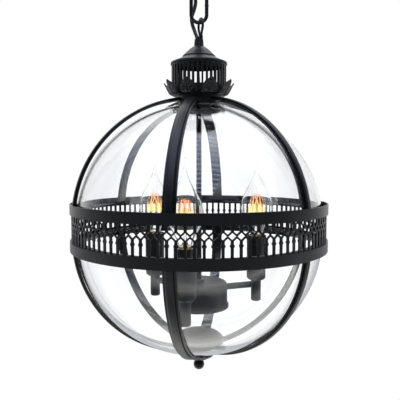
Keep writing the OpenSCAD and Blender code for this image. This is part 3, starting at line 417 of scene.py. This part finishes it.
def leaf_grid(azimuth):
    """Points of one leaf. Its half width swells and tapers on sines and its edge is scalloped by another;
    a midrib, side veins and a cup that deepens to the edges lift the sheet square to its bent line."""
    along = np.linspace(0, 1, leaf_rows)[:, None]
    across = np.linspace(-1, 1, leaf_columns)[None, :]
    chord = np.concatenate([[0], np.cumsum(np.linalg.norm(np.diff(leaf_line_mm, axis=0), axis=1))])
    share = chord / chord[-1]
    radius = np.interp(along, share, leaf_line_mm[:, 0])
    height = np.interp(along, share, leaf_line_mm[:, 1])
    slope = np.arctan2(np.gradient(height[:, 0]), np.gradient(radius[:, 0]))[:, None]
    swell = np.where(along < 0.45, 0.78 + 0.22 * np.sin(along / 0.45 * np.pi / 2), 1.0)
    taper = np.cos(np.clip((along - 0.5) / 0.5, 0, 1) * np.pi / 2) ** 0.7
    scallop = 1 + 0.07 * np.abs(np.sin(along * np.pi * 5.5)) * np.clip(along * 4 - 1, 0, 1)
    half = leaf_half_width_mm * np.minimum(swell, np.maximum(taper, 0.02)) * scallop
    side = half * across
    midrib = 0.55 * np.exp(-(side / 0.9) ** 2)
    off_rib = np.abs(across)
    veins = 0.22 * np.cos(2 * np.pi * (along * 6 - off_rib * 0.9)) * np.clip(off_rib * 3, 0, 1)
    cup = 0.9 * off_rib**2 * (along > 0.3)
    lift = (midrib + veins + cup) * np.clip(along * 5 - 1.2, 0, 1)
    r = radius - np.sin(slope) * lift
    z = height + np.cos(slope) * lift
    turn = math.radians(azimuth)
    x = r * math.sin(turn) + side * math.cos(turn)
    y = -r * math.cos(turn) + side * math.sin(turn)
    return np.stack([x, y, np.broadcast_to(z, x.shape)], axis=2) / 1000


leaf_faces = grid_faces(leaf_rows, leaf_columns)
leaf_azimuths = leaf_first_azimuth + np.arange(leaf_count) * 360 / leaf_count
coronet = new_piece(
    "coronet_leaves", np.vstack([leaf_grid(azimuth) for azimuth in leaf_azimuths]),
    np.vstack([leaf_faces + index * leaf_rows * leaf_columns for index in range(leaf_count)]), "lamp",
    powder_coat, "black_metal",
)
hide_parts("leaf_coronet")
thicken(coronet, leaf_sheet_mm, 0.0)

ring_profile = np.array([
    [ring_bore_mm, 0.0], [ring_radius_mm, 0.0],
    [ring_radius_mm, ring_thickness_mm], [ring_bore_mm, ring_thickness_mm],
])
turned_piece(
    "coronet_ring", ring_profile, ring_segments, (0, 0, collar_top_mm / 1000), "lamp", powder_coat,
    "black_metal", joined=True, smooth=False,
)


# Glass globe
# Two blown soda-lime bowls, 2.5 mm thick and clear; the upper one ends in a fire-polished bead at its mouth.
# Each stands on its ledge between the ribs and the band.
clear_glass, tree, output, place = new_material("clear_soda_lime_glass")
# Blown glass: colourless, with long faint ripples of about 60 mm that bend the reflections a little
ripple = add_node(tree, "ShaderNodeTexNoise", {"Vector": place}, Scale=16.0, Detail=1.0)
bump = add_node(tree, "ShaderNodeBump", {"Height": ripple.outputs["Fac"]}, Strength=0.12, Distance=0.002)
shader = add_node(
    tree, "ShaderNodeBsdfPrincipled", {"Normal": bump.outputs["Normal"]},
    Transmission_Weight=1.0, Roughness=0.0, IOR=1.47,
)
shader.inputs["Base Color"].default_value = hex_colour("fbfcfd")
tree.links.new(shader.outputs["BSDF"], output.inputs["Surface"])

glass_outer_mm = 123.1
glass_inner_mm = 120.6
bowl_foot_mm = 16.3
upper_centre = (4.81, 1.5)
mouth_reach_mm = 28.2
bead_centre = (25.5, 121.58)
bead_mm = 2.3
lower_centre = (4.55, 10.0)
bore_mm = 4.0


def arc_profile(centre, radius, from_angle, to_angle, count):
    """Points of radius and height along a circle's arc."""
    angle = np.radians(np.linspace(from_angle, to_angle, count))
    return np.stack([centre[0] + radius * np.cos(angle), centre[1] + radius * np.sin(angle)], axis=1)


def wall_arc(centre, radius, reach, count):
    """One face of a bowl's wall: an arc from its foot at the band to where it is reach away from the axis."""
    foot_angle = math.degrees(math.asin((bowl_foot_mm - centre[1]) / radius))
    mouth_angle = math.degrees(math.acos((reach - centre[0]) / radius))
    return arc_profile(centre, radius, foot_angle, mouth_angle, count)


upper_profile = np.vstack([
    wall_arc(upper_centre, glass_outer_mm, mouth_reach_mm, 70),
    arc_profile(bead_centre, bead_mm, 40, 320, 22),
    wall_arc(upper_centre, glass_inner_mm, mouth_reach_mm, 70)[::-1],
])
lower_profile = np.vstack([
    wall_arc(lower_centre, glass_outer_mm, bore_mm, 80),
    wall_arc(lower_centre, glass_inner_mm, bore_mm, 80)[::-1],
])
globe_segments = 256
for name, profile, side, node in (
    ("bowl_upper", upper_profile, 1, "upper_glass"),
    ("bowl_lower", lower_profile, -1, "lower_glass"),
):
    bowl = turned_piece(
        name, profile * [1, side], globe_segments, (0, 0, globe_z), "lamp", clear_glass, "clear_glass",
        joined=True,
    )
    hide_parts(node)


# Cage
# Rolled steel bands, six moulded ribs in each half, ledge rings and the pierced gallery, in satin lacquer.
# The ribs are welded between the bands and the crown's collar or the ring under the globe.
dress(
    lacquer, "upper_ribs", "lower_ribs", "upper_band", "lower_band", "upper_ledge", "lower_ledge", "gallery",
    "band_screws", "rib_hub_ring",
)


# Light cluster
# A turned stem carries a spun hub with three tube arms; each ends in a stub, a cup and a straight sleeve.
# Powder coated like the crown; the sleeves are lacquered tubes.
dress(
    powder_coat, "centre_stem", "hub_body", "hub_lid", "hub_base", "arm_1", "arm_2", "arm_3",
    "candle_cup_1", "candle_cup_2", "candle_cup_3",
)
dress(lacquer, "candle_sleeves")


# Bulbs
# Flame-tip candle bulbs: a thin blown envelope, a rolled brass screw cap, a glass stem with four amber
# light strips round it, and the soft glow that they give the inner cone.
arm_reach = 0.0675
arm_azimuths = np.radians([-11, 109, 229])
neck_z = globe_z - 0.0135
neck_radius_mm = 6.8
belly_radius_mm = 17.5
belly_height_mm = 28.4
tip_height_mm = 84.4
lining_top_mm = 77.6
shoulder_mm = 1.6
glass_mm = 0.5
envelope_segments = 64

thin_glass, tree, output, place = new_material("thin_blown_bulb_glass")
# Blown lamp glass: colourless and bright, with no texture of its own but a slow ripple
ripple = add_node(tree, "ShaderNodeTexNoise", {"Vector": place}, Scale=60.0, Detail=1.0)
bump = add_node(tree, "ShaderNodeBump", {"Height": ripple.outputs["Fac"]}, Strength=0.1, Distance=0.001)
shader = add_node(
    tree, "ShaderNodeBsdfPrincipled", {"Normal": bump.outputs["Normal"]},
    Transmission_Weight=1.0, Roughness=0.0, IOR=1.3,
)
shader.inputs["Base Color"].default_value = (1, 1, 1, 1)
tree.links.new(shader.outputs["BSDF"], output.inputs["Surface"])

# Rolled brass: warm yellow, dulled a little between the threads
brass = mottled_metal("rolled_brass", "a8853f", "c9a75c", 2, 0.3, 1.0, 0.6, 0.06)

amber, tree, output, place = new_material("amber_phosphor")
# Phosphor on a lit strip: it glows yellow at its foot and orange towards its head
level = add_node(tree, "ShaderNodeSeparateXYZ", {"Vector": place})
rise = add_node(tree, "ShaderNodeMapRange", {"Value": level.outputs["Z"]})
rise.inputs["From Min"].default_value = neck_z + 0.024
rise.inputs["From Max"].default_value = neck_z + 0.040
warm = add_node(tree, "ShaderNodeValToRGB", {"Fac": rise.outputs["Result"]})
warm.color_ramp.elements[0].color = hex_colour("fce184")
warm.color_ramp.elements[1].color = hex_colour("eda679")
shader = add_node(
    tree, "ShaderNodeBsdfPrincipled",
    {"Base Color": warm.outputs["Color"], "Emission Color": warm.outputs["Color"]},
    Roughness=0.6, Emission_Strength=1.3,
)
tree.links.new(shader.outputs["BSDF"], output.inputs["Surface"])

glow, tree, output, place = new_material("glowing_inner_cone")
# Thin frosted cone round the strips: a yellow haze at its foot that breaks up into orange streaks
level = add_node(tree, "ShaderNodeSeparateXYZ", {"Vector": place})
rise = add_node(tree, "ShaderNodeMapRange", {"Value": level.outputs["Z"]})
rise.inputs["From Min"].default_value = neck_z + 0.026
rise.inputs["From Max"].default_value = neck_z + 0.040
warm = add_node(tree, "ShaderNodeValToRGB", {"Fac": rise.outputs["Result"]})
warm.color_ramp.elements[0].color = hex_colour("fff08c")
warm.color_ramp.elements[1].color = hex_colour("f0a070")
drawn = add_node(tree, "ShaderNodeMapping", {"Vector": place})
drawn.inputs["Scale"].default_value = (1.0, 1.0, 0.3)
streaks = add_node(tree, "ShaderNodeTexNoise", {"Vector": drawn.outputs["Vector"]}, Scale=420.0, Detail=2.0)
broken = add_node(tree, "ShaderNodeMapRange", {"Value": streaks.outputs["Fac"]})
broken.inputs["From Min"].default_value = 0.45
broken.inputs["From Max"].default_value = 0.65
broken.inputs["To Max"].default_value = 0.5
haze = add_node(tree, "ShaderNodeMapRange", {"Value": level.outputs["Z"]}, interpolation_type="SMOOTHSTEP")
haze.inputs["From Min"].default_value = neck_z + 0.026
haze.inputs["From Max"].default_value = neck_z + 0.037
haze.inputs["To Min"].default_value = 0.34
haze.inputs["To Max"].default_value = 0.0
clear = add_node(
    tree, "ShaderNodeMath", {0: haze.outputs["Result"], 1: broken.outputs["Result"]}, operation="MAXIMUM",
)
shader = add_node(
    tree, "ShaderNodeBsdfPrincipled",
    {
        "Base Color": warm.outputs["Color"],
        "Emission Color": warm.outputs["Color"],
        "Alpha": clear.outputs[0],
    },
    Roughness=0.8, Emission_Strength=0.9,
)
tree.links.new(shader.outputs["BSDF"], output.inputs["Surface"])

# The envelope swells from its neck to its belly on a cosine. From there to its tip it draws in on a power of
# a cosine, with a slight shoulder added. Its lining runs inside it, a glass's thickness away, to a lower tip.
height = np.concatenate([
    np.linspace(0, belly_height_mm, 24), np.linspace(belly_height_mm + 1, tip_height_mm - 3.9, 40),
])
swell = (1 - np.cos(np.pi * height / belly_height_mm)) / 2
belly = neck_radius_mm + (belly_radius_mm - neck_radius_mm) * swell
flame_share = np.clip((height - belly_height_mm) / (tip_height_mm - belly_height_mm), 0, 1)
flame = belly_radius_mm * np.cos(np.pi / 2 * flame_share) ** 2.7
flame += shoulder_mm * flame_share * np.sqrt(1 - flame_share)
envelope_radius = np.where(height <= belly_height_mm, belly, flame)
outer = np.stack([envelope_radius, height], axis=1)
lining_radius = np.maximum(envelope_radius - glass_mm, glass_mm / 2)
inner = np.stack([lining_radius, height], axis=1)[height < lining_top_mm - 0.6]
envelope_profile = np.vstack([outer, [0.0, tip_height_mm - 0.6], [0.0, lining_top_mm], inner[::-1]])

# The screw cap is a cylinder whose radius follows a cosine of turn and height, one wave to a pitch of thread.
thread_segments = 48
thread_levels = 91
thread_pitch_mm = 2.1
thread_depth_mm = 0.38
cap_sheet_mm = 0.3
screw_radius_mm = 5.5
screw_length_mm = 18.0
thread_turn = np.linspace(0, 2 * math.pi, thread_segments, endpoint=False)[:, None]
thread_height = np.linspace(0, 1, thread_levels)[None, :]
screw_level = -screw_length_mm + screw_length_mm * thread_height
wave = np.cos(2 * np.pi * (screw_level / thread_pitch_mm) - thread_turn)
threaded = np.clip(np.minimum(thread_height * 12, (1 - thread_height) * 6), 0, 1)
screw_radius = screw_radius_mm + thread_depth_mm * wave * threaded
screw_grid = np.stack(np.broadcast_arrays(
    screw_radius * np.sin(thread_turn), -screw_radius * np.cos(thread_turn), screw_level,
), axis=2)
contact_profile = np.array([
    [0.0, -19.0], [2.4, -19.0], [3.0, -18.6], [3.0, -18.0], [5.5, -17.9], [0.0, -17.8],
])
stem_profile = np.array([
    [0.0, 0.0], [5.5, 0.0], [3.4, 1.5], [2.0, 5.0], [1.6, 10.0], [1.2, 13.5], [0.0, 14.4],
])

# Each strip is a straight rod that leans round the stem, from a wide ring at its foot to a narrow one above.
strip_count = 4
strip_lean = math.radians(70)
strip_foot_mm = (7.4, 24.0)
strip_head_mm = (3.4, 43.0)
strip_radius = 0.00045
strip_sides = 8
strip_share = np.linspace(0, 1, 12)[:, None]
cone_foot_mm = 23.0
cone_top_mm = 44.0
cone_radius_mm = 9.4
cone_segments = 48
cone_height = np.linspace(cone_foot_mm, cone_top_mm, 21)
cone_radius = cone_radius_mm * np.cos(np.pi / 2 * np.clip((cone_height - cone_foot_mm - 1) / 22, 0, 1)) ** 0.4
cone_wall = np.stack([cone_radius, cone_height], axis=1)
cone_profile = np.vstack([[0.0, cone_foot_mm], cone_wall, [0.0, cone_top_mm + 0.8]])


def ring_point(reach_and_height, turn):
    """A point at a distance from the axis and a height, turned round the axis from the x direction."""
    reach, level = reach_and_height
    return np.array([reach * math.cos(turn), reach * math.sin(turn), level])


for index, azimuth in enumerate(arm_azimuths, start=1):
    body = f"bulb_{index}"
    middle = np.array([arm_reach * math.sin(azimuth), -arm_reach * math.cos(azimuth), neck_z])
    envelope = turned_piece(
        f"envelope_{index}", envelope_profile, envelope_segments, middle, body, thin_glass, "bulb_glass",
        joined=True,
    )
    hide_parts(f"bulb_glass_{index}")
    screw_cap = new_piece(
        f"screw_cap_{index}", screw_grid / 1000 + middle, grid_faces(thread_segments, thread_levels, True),
        body, brass, "bulb_brass",
    )
    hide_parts(f"bulb_base_{index}")
    thicken(screw_cap, cap_sheet_mm, -1.0)
    turned_piece(f"contact_{index}", contact_profile, small_segments, middle, body, brass, "bulb_brass")
    turned_piece(
        f"glass_stem_{index}", stem_profile, small_segments, middle, body, thin_glass, "bulb_glass",
    )
    for strip in range(strip_count):
        turn = math.radians(45) + 2 * math.pi * strip / strip_count
        foot = ring_point(strip_foot_mm, turn)
        head = ring_point(strip_head_mm, turn + strip_lean)
        line = (foot + (head - foot) * strip_share) / 1000 + middle
        rod = closed_tube(line, strip_radius, strip_sides)
        new_piece(f"light_strip_{index}_{strip + 1}", *rod, body, amber, "bulb_brass")
    turned_piece(f"glow_cone_{index}", cone_profile, cone_segments, middle, body, glow, "bulb_glass")


# Bottom
# A spun inner cap and a clamp rod hold the glass and the ribs; outside are a fluted dish and a ball finial.
# The dish is pressed in sixteen shallow flutes that die out towards its boss.
dress(powder_coat, "bottom_cap", "clamp_rod")
dress(lacquer, "ball_finial")
dish_top_mm = -489.38
dish_depth_mm = 9.8
dish_radius_mm = 18.0
dish_boss_mm = 5.0
dish_sheet_mm = 1.1
dish_segments = 256
dish_rows = 32
flute_count = 16
flute_inset_mm = 1.9
flute_lift_mm = 0.9
boss_segments = 64
dish_turn = np.linspace(0, 2 * math.pi, dish_segments, endpoint=False)[:, None]
dish_share = np.linspace(0, 1, dish_rows)[None, :]
flute = (1 - np.abs(np.sin(flute_count / 2 * dish_turn))) * (1 - dish_share) ** 0.7
dish_r = dish_radius_mm + (dish_boss_mm - dish_radius_mm) * dish_share**1.4 - flute_inset_mm * flute
dish_z = np.minimum(dish_top_mm, dish_top_mm - dish_depth_mm * dish_share**0.6 + flute_lift_mm * flute)
dish_grid = np.stack([dish_r * np.sin(dish_turn), -dish_r * np.cos(dish_turn), dish_z], axis=2)
dish_faces = grid_faces(dish_segments, dish_rows, True)
dish = new_piece("fluted_dish", dish_grid / 1000, dish_faces, "lamp", powder_coat, "black_metal")
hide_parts("finial_dish")
thicken(dish, dish_sheet_mm, -1.0)
boss_profile = np.array([[2.7, 0.3], [5.0, 0.3], [5.0, -9.6], [4.6, -9.95], [2.7, -9.95]])
turned_piece(
    "dish_boss", boss_profile, boss_segments, (0, 0, dish_top_mm / 1000), "lamp", powder_coat, "black_metal",
    joined=True, smooth=False,
)


# Studio
# A white room with a pale floor far under the lamp; the light comes from behind the lamp and from overhead.
# The room behind the camera is dark, so that black lacquer stays black in front and brightens at its edges;
# a slatted ceiling light and light and dark bands on the floor put cool and pale stripes on metal and glass.
def straight_through(tree):
    """1 for rays that reach the camera directly or through glass, and 0 for reflected and scattered ones."""
    rays = tree.nodes.new("ShaderNodeLightPath")
    depths = {0: rays.outputs["Glossy Depth"], 1: rays.outputs["Diffuse Depth"]}
    bounced = add_node(tree, "ShaderNodeMath", depths, operation="ADD")
    unbounced = add_node(tree, "ShaderNodeMath", {0: bounced.outputs[0]}, operation="LESS_THAN")
    unbounced.inputs[1].default_value = 0.5
    return rays, unbounced


def clear_white(tree, rays):
    """White for the camera, and a little more behind glass, for what the glass's faces reflect away."""
    level = add_node(tree, "ShaderNodeMapRange", {"Value": rays.outputs["Is Camera Ray"]})
    level.inputs["To Min"].default_value = 1.14
    level.inputs["To Max"].default_value = 1.0
    return level


# Floor paint: pale bands across the room, and darker bluish ones between them, with slightly wavy edges.
# Each band is its distance behind the lamp in metres and its brightness, where 1 is white.
floor_bands = (
    (-2.5, 0.4), (-1.65, 0.9), (-1.38, 1.6), (-1.25, 1.4), (-1.0, 0.2), (-0.75, 0.2),
    (-0.55, 0.9), (-0.2, 1.1), (0.1, 2.0), (0.35, 2.2), (0.55, 0.9), (1.0, 0.6),
)
bands_from = floor_bands[0][0]
bands_to = floor_bands[-1][0]
band_strength = 3.0
band_edge = 0.1
studio, tree, output, place = new_material("pale_studio_floor")
rays, unbounced = straight_through(tree)
plain = clear_white(tree, rays)
floor_place = add_node(tree, "ShaderNodeSeparateXYZ", {"Vector": place})
ripple = add_node(tree, "ShaderNodeTexNoise", {"Vector": place}, Scale=2.5, Detail=2.0)
wander = add_node(tree, "ShaderNodeMapRange", {"Value": ripple.outputs["Fac"]})
wander.inputs["To Min"].default_value = -band_edge
wander.inputs["To Max"].default_value = band_edge
across = add_node(
    tree, "ShaderNodeMath", {0: floor_place.outputs["Y"], 1: wander.outputs["Result"]}, operation="ADD",
)
along = add_node(tree, "ShaderNodeMapRange", {"Value": across.outputs[0]})
along.inputs["From Min"].default_value = bands_from
along.inputs["From Max"].default_value = bands_to
bands = add_node(tree, "ShaderNodeValToRGB", {"Fac": along.outputs["Result"]})
ramp = bands.color_ramp
while len(ramp.elements) < len(floor_bands):
    ramp.elements.new(0.5)
for stop, (y, _) in zip(ramp.elements, floor_bands):
    stop.position = (y - bands_from) / (bands_to - bands_from)
for stop, (_, brightness) in zip(ramp.elements, floor_bands):
    grey = brightness / band_strength
    blue = 1.2 - 0.24 * min(brightness, 1.0)
    stop.color = (grey, grey, grey * blue, 1.0)
lit = add_node(
    tree, "ShaderNodeMix", {"Factor": unbounced.outputs[0], "A": bands.outputs["Color"]}, data_type="RGBA",
)
lit.inputs["B"].default_value = (1, 1, 1, 1)
strength = add_node(
    tree, "ShaderNodeMix", {"Factor": unbounced.outputs[0], "B": plain.outputs["Result"]},
)
strength.inputs["A"].default_value = band_strength
white = add_node(
    tree, "ShaderNodeEmission", {"Color": lit.outputs["Result"], "Strength": strength.outputs["Result"]},
)
tree.links.new(white.outputs[0], output.inputs["Surface"])


def stage_sheets(name, left, right, fronts, backs, height, material):
    """Level four-cornered sheets at one height, each from left to right and from its front to its back."""
    sides = ((left, fronts), (right, fronts), (right, backs), (left, backs))
    corners = np.stack([
        np.stack([np.full_like(y, x), y, np.full_like(y, height)], axis=1) for x, y in sides
    ], axis=1)
    mesh = bpy.data.meshes.new(name)
    faces = np.arange(4 * len(fronts)).reshape(-1, 4)
    mesh.from_pydata(corners.reshape(-1, 3).tolist(), [], faces.tolist())
    mesh.materials.append(material)
    sheets = bpy.data.objects.new(name, mesh)
    bpy.context.scene.collection.objects.link(sheets)
    return sheets


floor_z = -1.5
floor_half = 8.0
floor = stage_sheets(
    "floor", -floor_half, floor_half, np.array([-floor_half]), np.array([floor_half]), floor_z, studio,
)

# Ceiling light: cool white slats that are narrower and closer together towards the lamp
slat_strength = 3.6
slat_light, tree, output, _ = new_material("slatted_ceiling_light")
rays, unbounced = straight_through(tree)
plain = clear_white(tree, rays)
level = add_node(
    tree, "ShaderNodeMix", {"Factor": unbounced.outputs[0], "B": plain.outputs["Result"]},
)
level.inputs["A"].default_value = slat_strength
glowing = add_node(tree, "ShaderNodeEmission", {"Strength": level.outputs["Result"]})
glowing.inputs["Color"].default_value = hex_colour("e4ecff")
tree.links.new(glowing.outputs[0], output.inputs["Surface"])
slat_z = 1.1
slat_left = -0.7
slat_right = 0.6
slat_fronts = np.array([
    -2.3, -2.0, -1.74, -1.5, -1.29, -1.1, -0.93, -0.77, -0.62, -0.48, -0.35, -0.22, -0.1,
])
slat_depths = 0.055 - 0.015 * slat_fronts
slats = stage_sheets(
    "ceiling_slats", slat_left, slat_right, slat_fronts, slat_fronts + slat_depths, slat_z, slat_light,
)

# Sky: dark and blue in front of the lamp, white behind it, and brightest straight overhead
world = bpy.data.worlds.new("studio_sky")
bpy.context.scene.world = world
world.use_nodes = True
tree = world.node_tree
tree.nodes.clear()
output = tree.nodes.new("ShaderNodeOutputWorld")
rays, unbounced = straight_through(tree)
plain = clear_white(tree, rays)
direction = tree.nodes.new("ShaderNodeTexCoord")
parts = add_node(tree, "ShaderNodeSeparateXYZ", {"Vector": direction.outputs["Generated"]})
behind = add_node(tree, "ShaderNodeMapRange", {"Value": parts.outputs["Y"]}, interpolation_type="SMOOTHSTEP")
behind.inputs["From Min"].default_value = -0.25
behind.inputs["From Max"].default_value = 0.7
behind.inputs["To Min"].default_value = 0.07
behind.inputs["To Max"].default_value = 1.0
above = add_node(tree, "ShaderNodeMapRange", {"Value": parts.outputs["Z"]}, interpolation_type="SMOOTHSTEP")
above.inputs["From Min"].default_value = 0.35
above.inputs["From Max"].default_value = 1.0
above.inputs["To Max"].default_value = 2.8
around = add_node(
    tree, "ShaderNodeMath", {0: behind.outputs["Result"], 1: above.outputs["Result"]}, operation="MAXIMUM",
)
strength = add_node(
    tree, "ShaderNodeMix",
    {"Factor": unbounced.outputs[0], "A": around.outputs[0], "B": plain.outputs["Result"]},
)
whiteness = add_node(
    tree, "ShaderNodeMath", {0: behind.outputs["Result"], 1: unbounced.outputs[0]}, operation="MAXIMUM",
)
cool = add_node(tree, "ShaderNodeMix", {"Factor": whiteness.outputs[0]}, data_type="RGBA")
cool.inputs["A"].default_value = hex_colour("bccbf2")
cool.inputs["B"].default_value = (1, 1, 1, 1)
sky = add_node(
    tree, "ShaderNodeBackground", {"Color": cool.outputs["Result"], "Strength": strength.outputs["Result"]},
)
tree.links.new(sky.outputs[0], output.inputs["Surface"])

# Soft boxes aimed at the globe; each row is a name, a place, the power in watts, and the width and height.
for name, place, power, width, height in (
    ("left_softbox", (-1.3, -0.9, 0.25), 7.0, 0.5, 1.2),
    ("right_softbox", (1.4, -0.6, -0.1), 5.0, 0.4, 1.2),
):
    lamp_data = bpy.data.lights.new(name, "AREA")
    lamp_data.shape = "RECTANGLE"
    lamp_data.size = width
    lamp_data.size_y = height
    lamp_data.energy = power
    softbox = bpy.data.objects.new(name, lamp_data)
    softbox.location = place
    softbox.visible_glossy = False
    aim = np.array([0.0, 0.0, globe_z]) - np.array(place)
    turn_z = math.atan2(aim[0], -aim[1])
    turn_x = math.acos(-aim[2] / float(np.linalg.norm(aim)))
    softbox.rotation_euler = (turn_x, 0.0, turn_z + math.pi)
    bpy.context.scene.collection.objects.link(softbox)
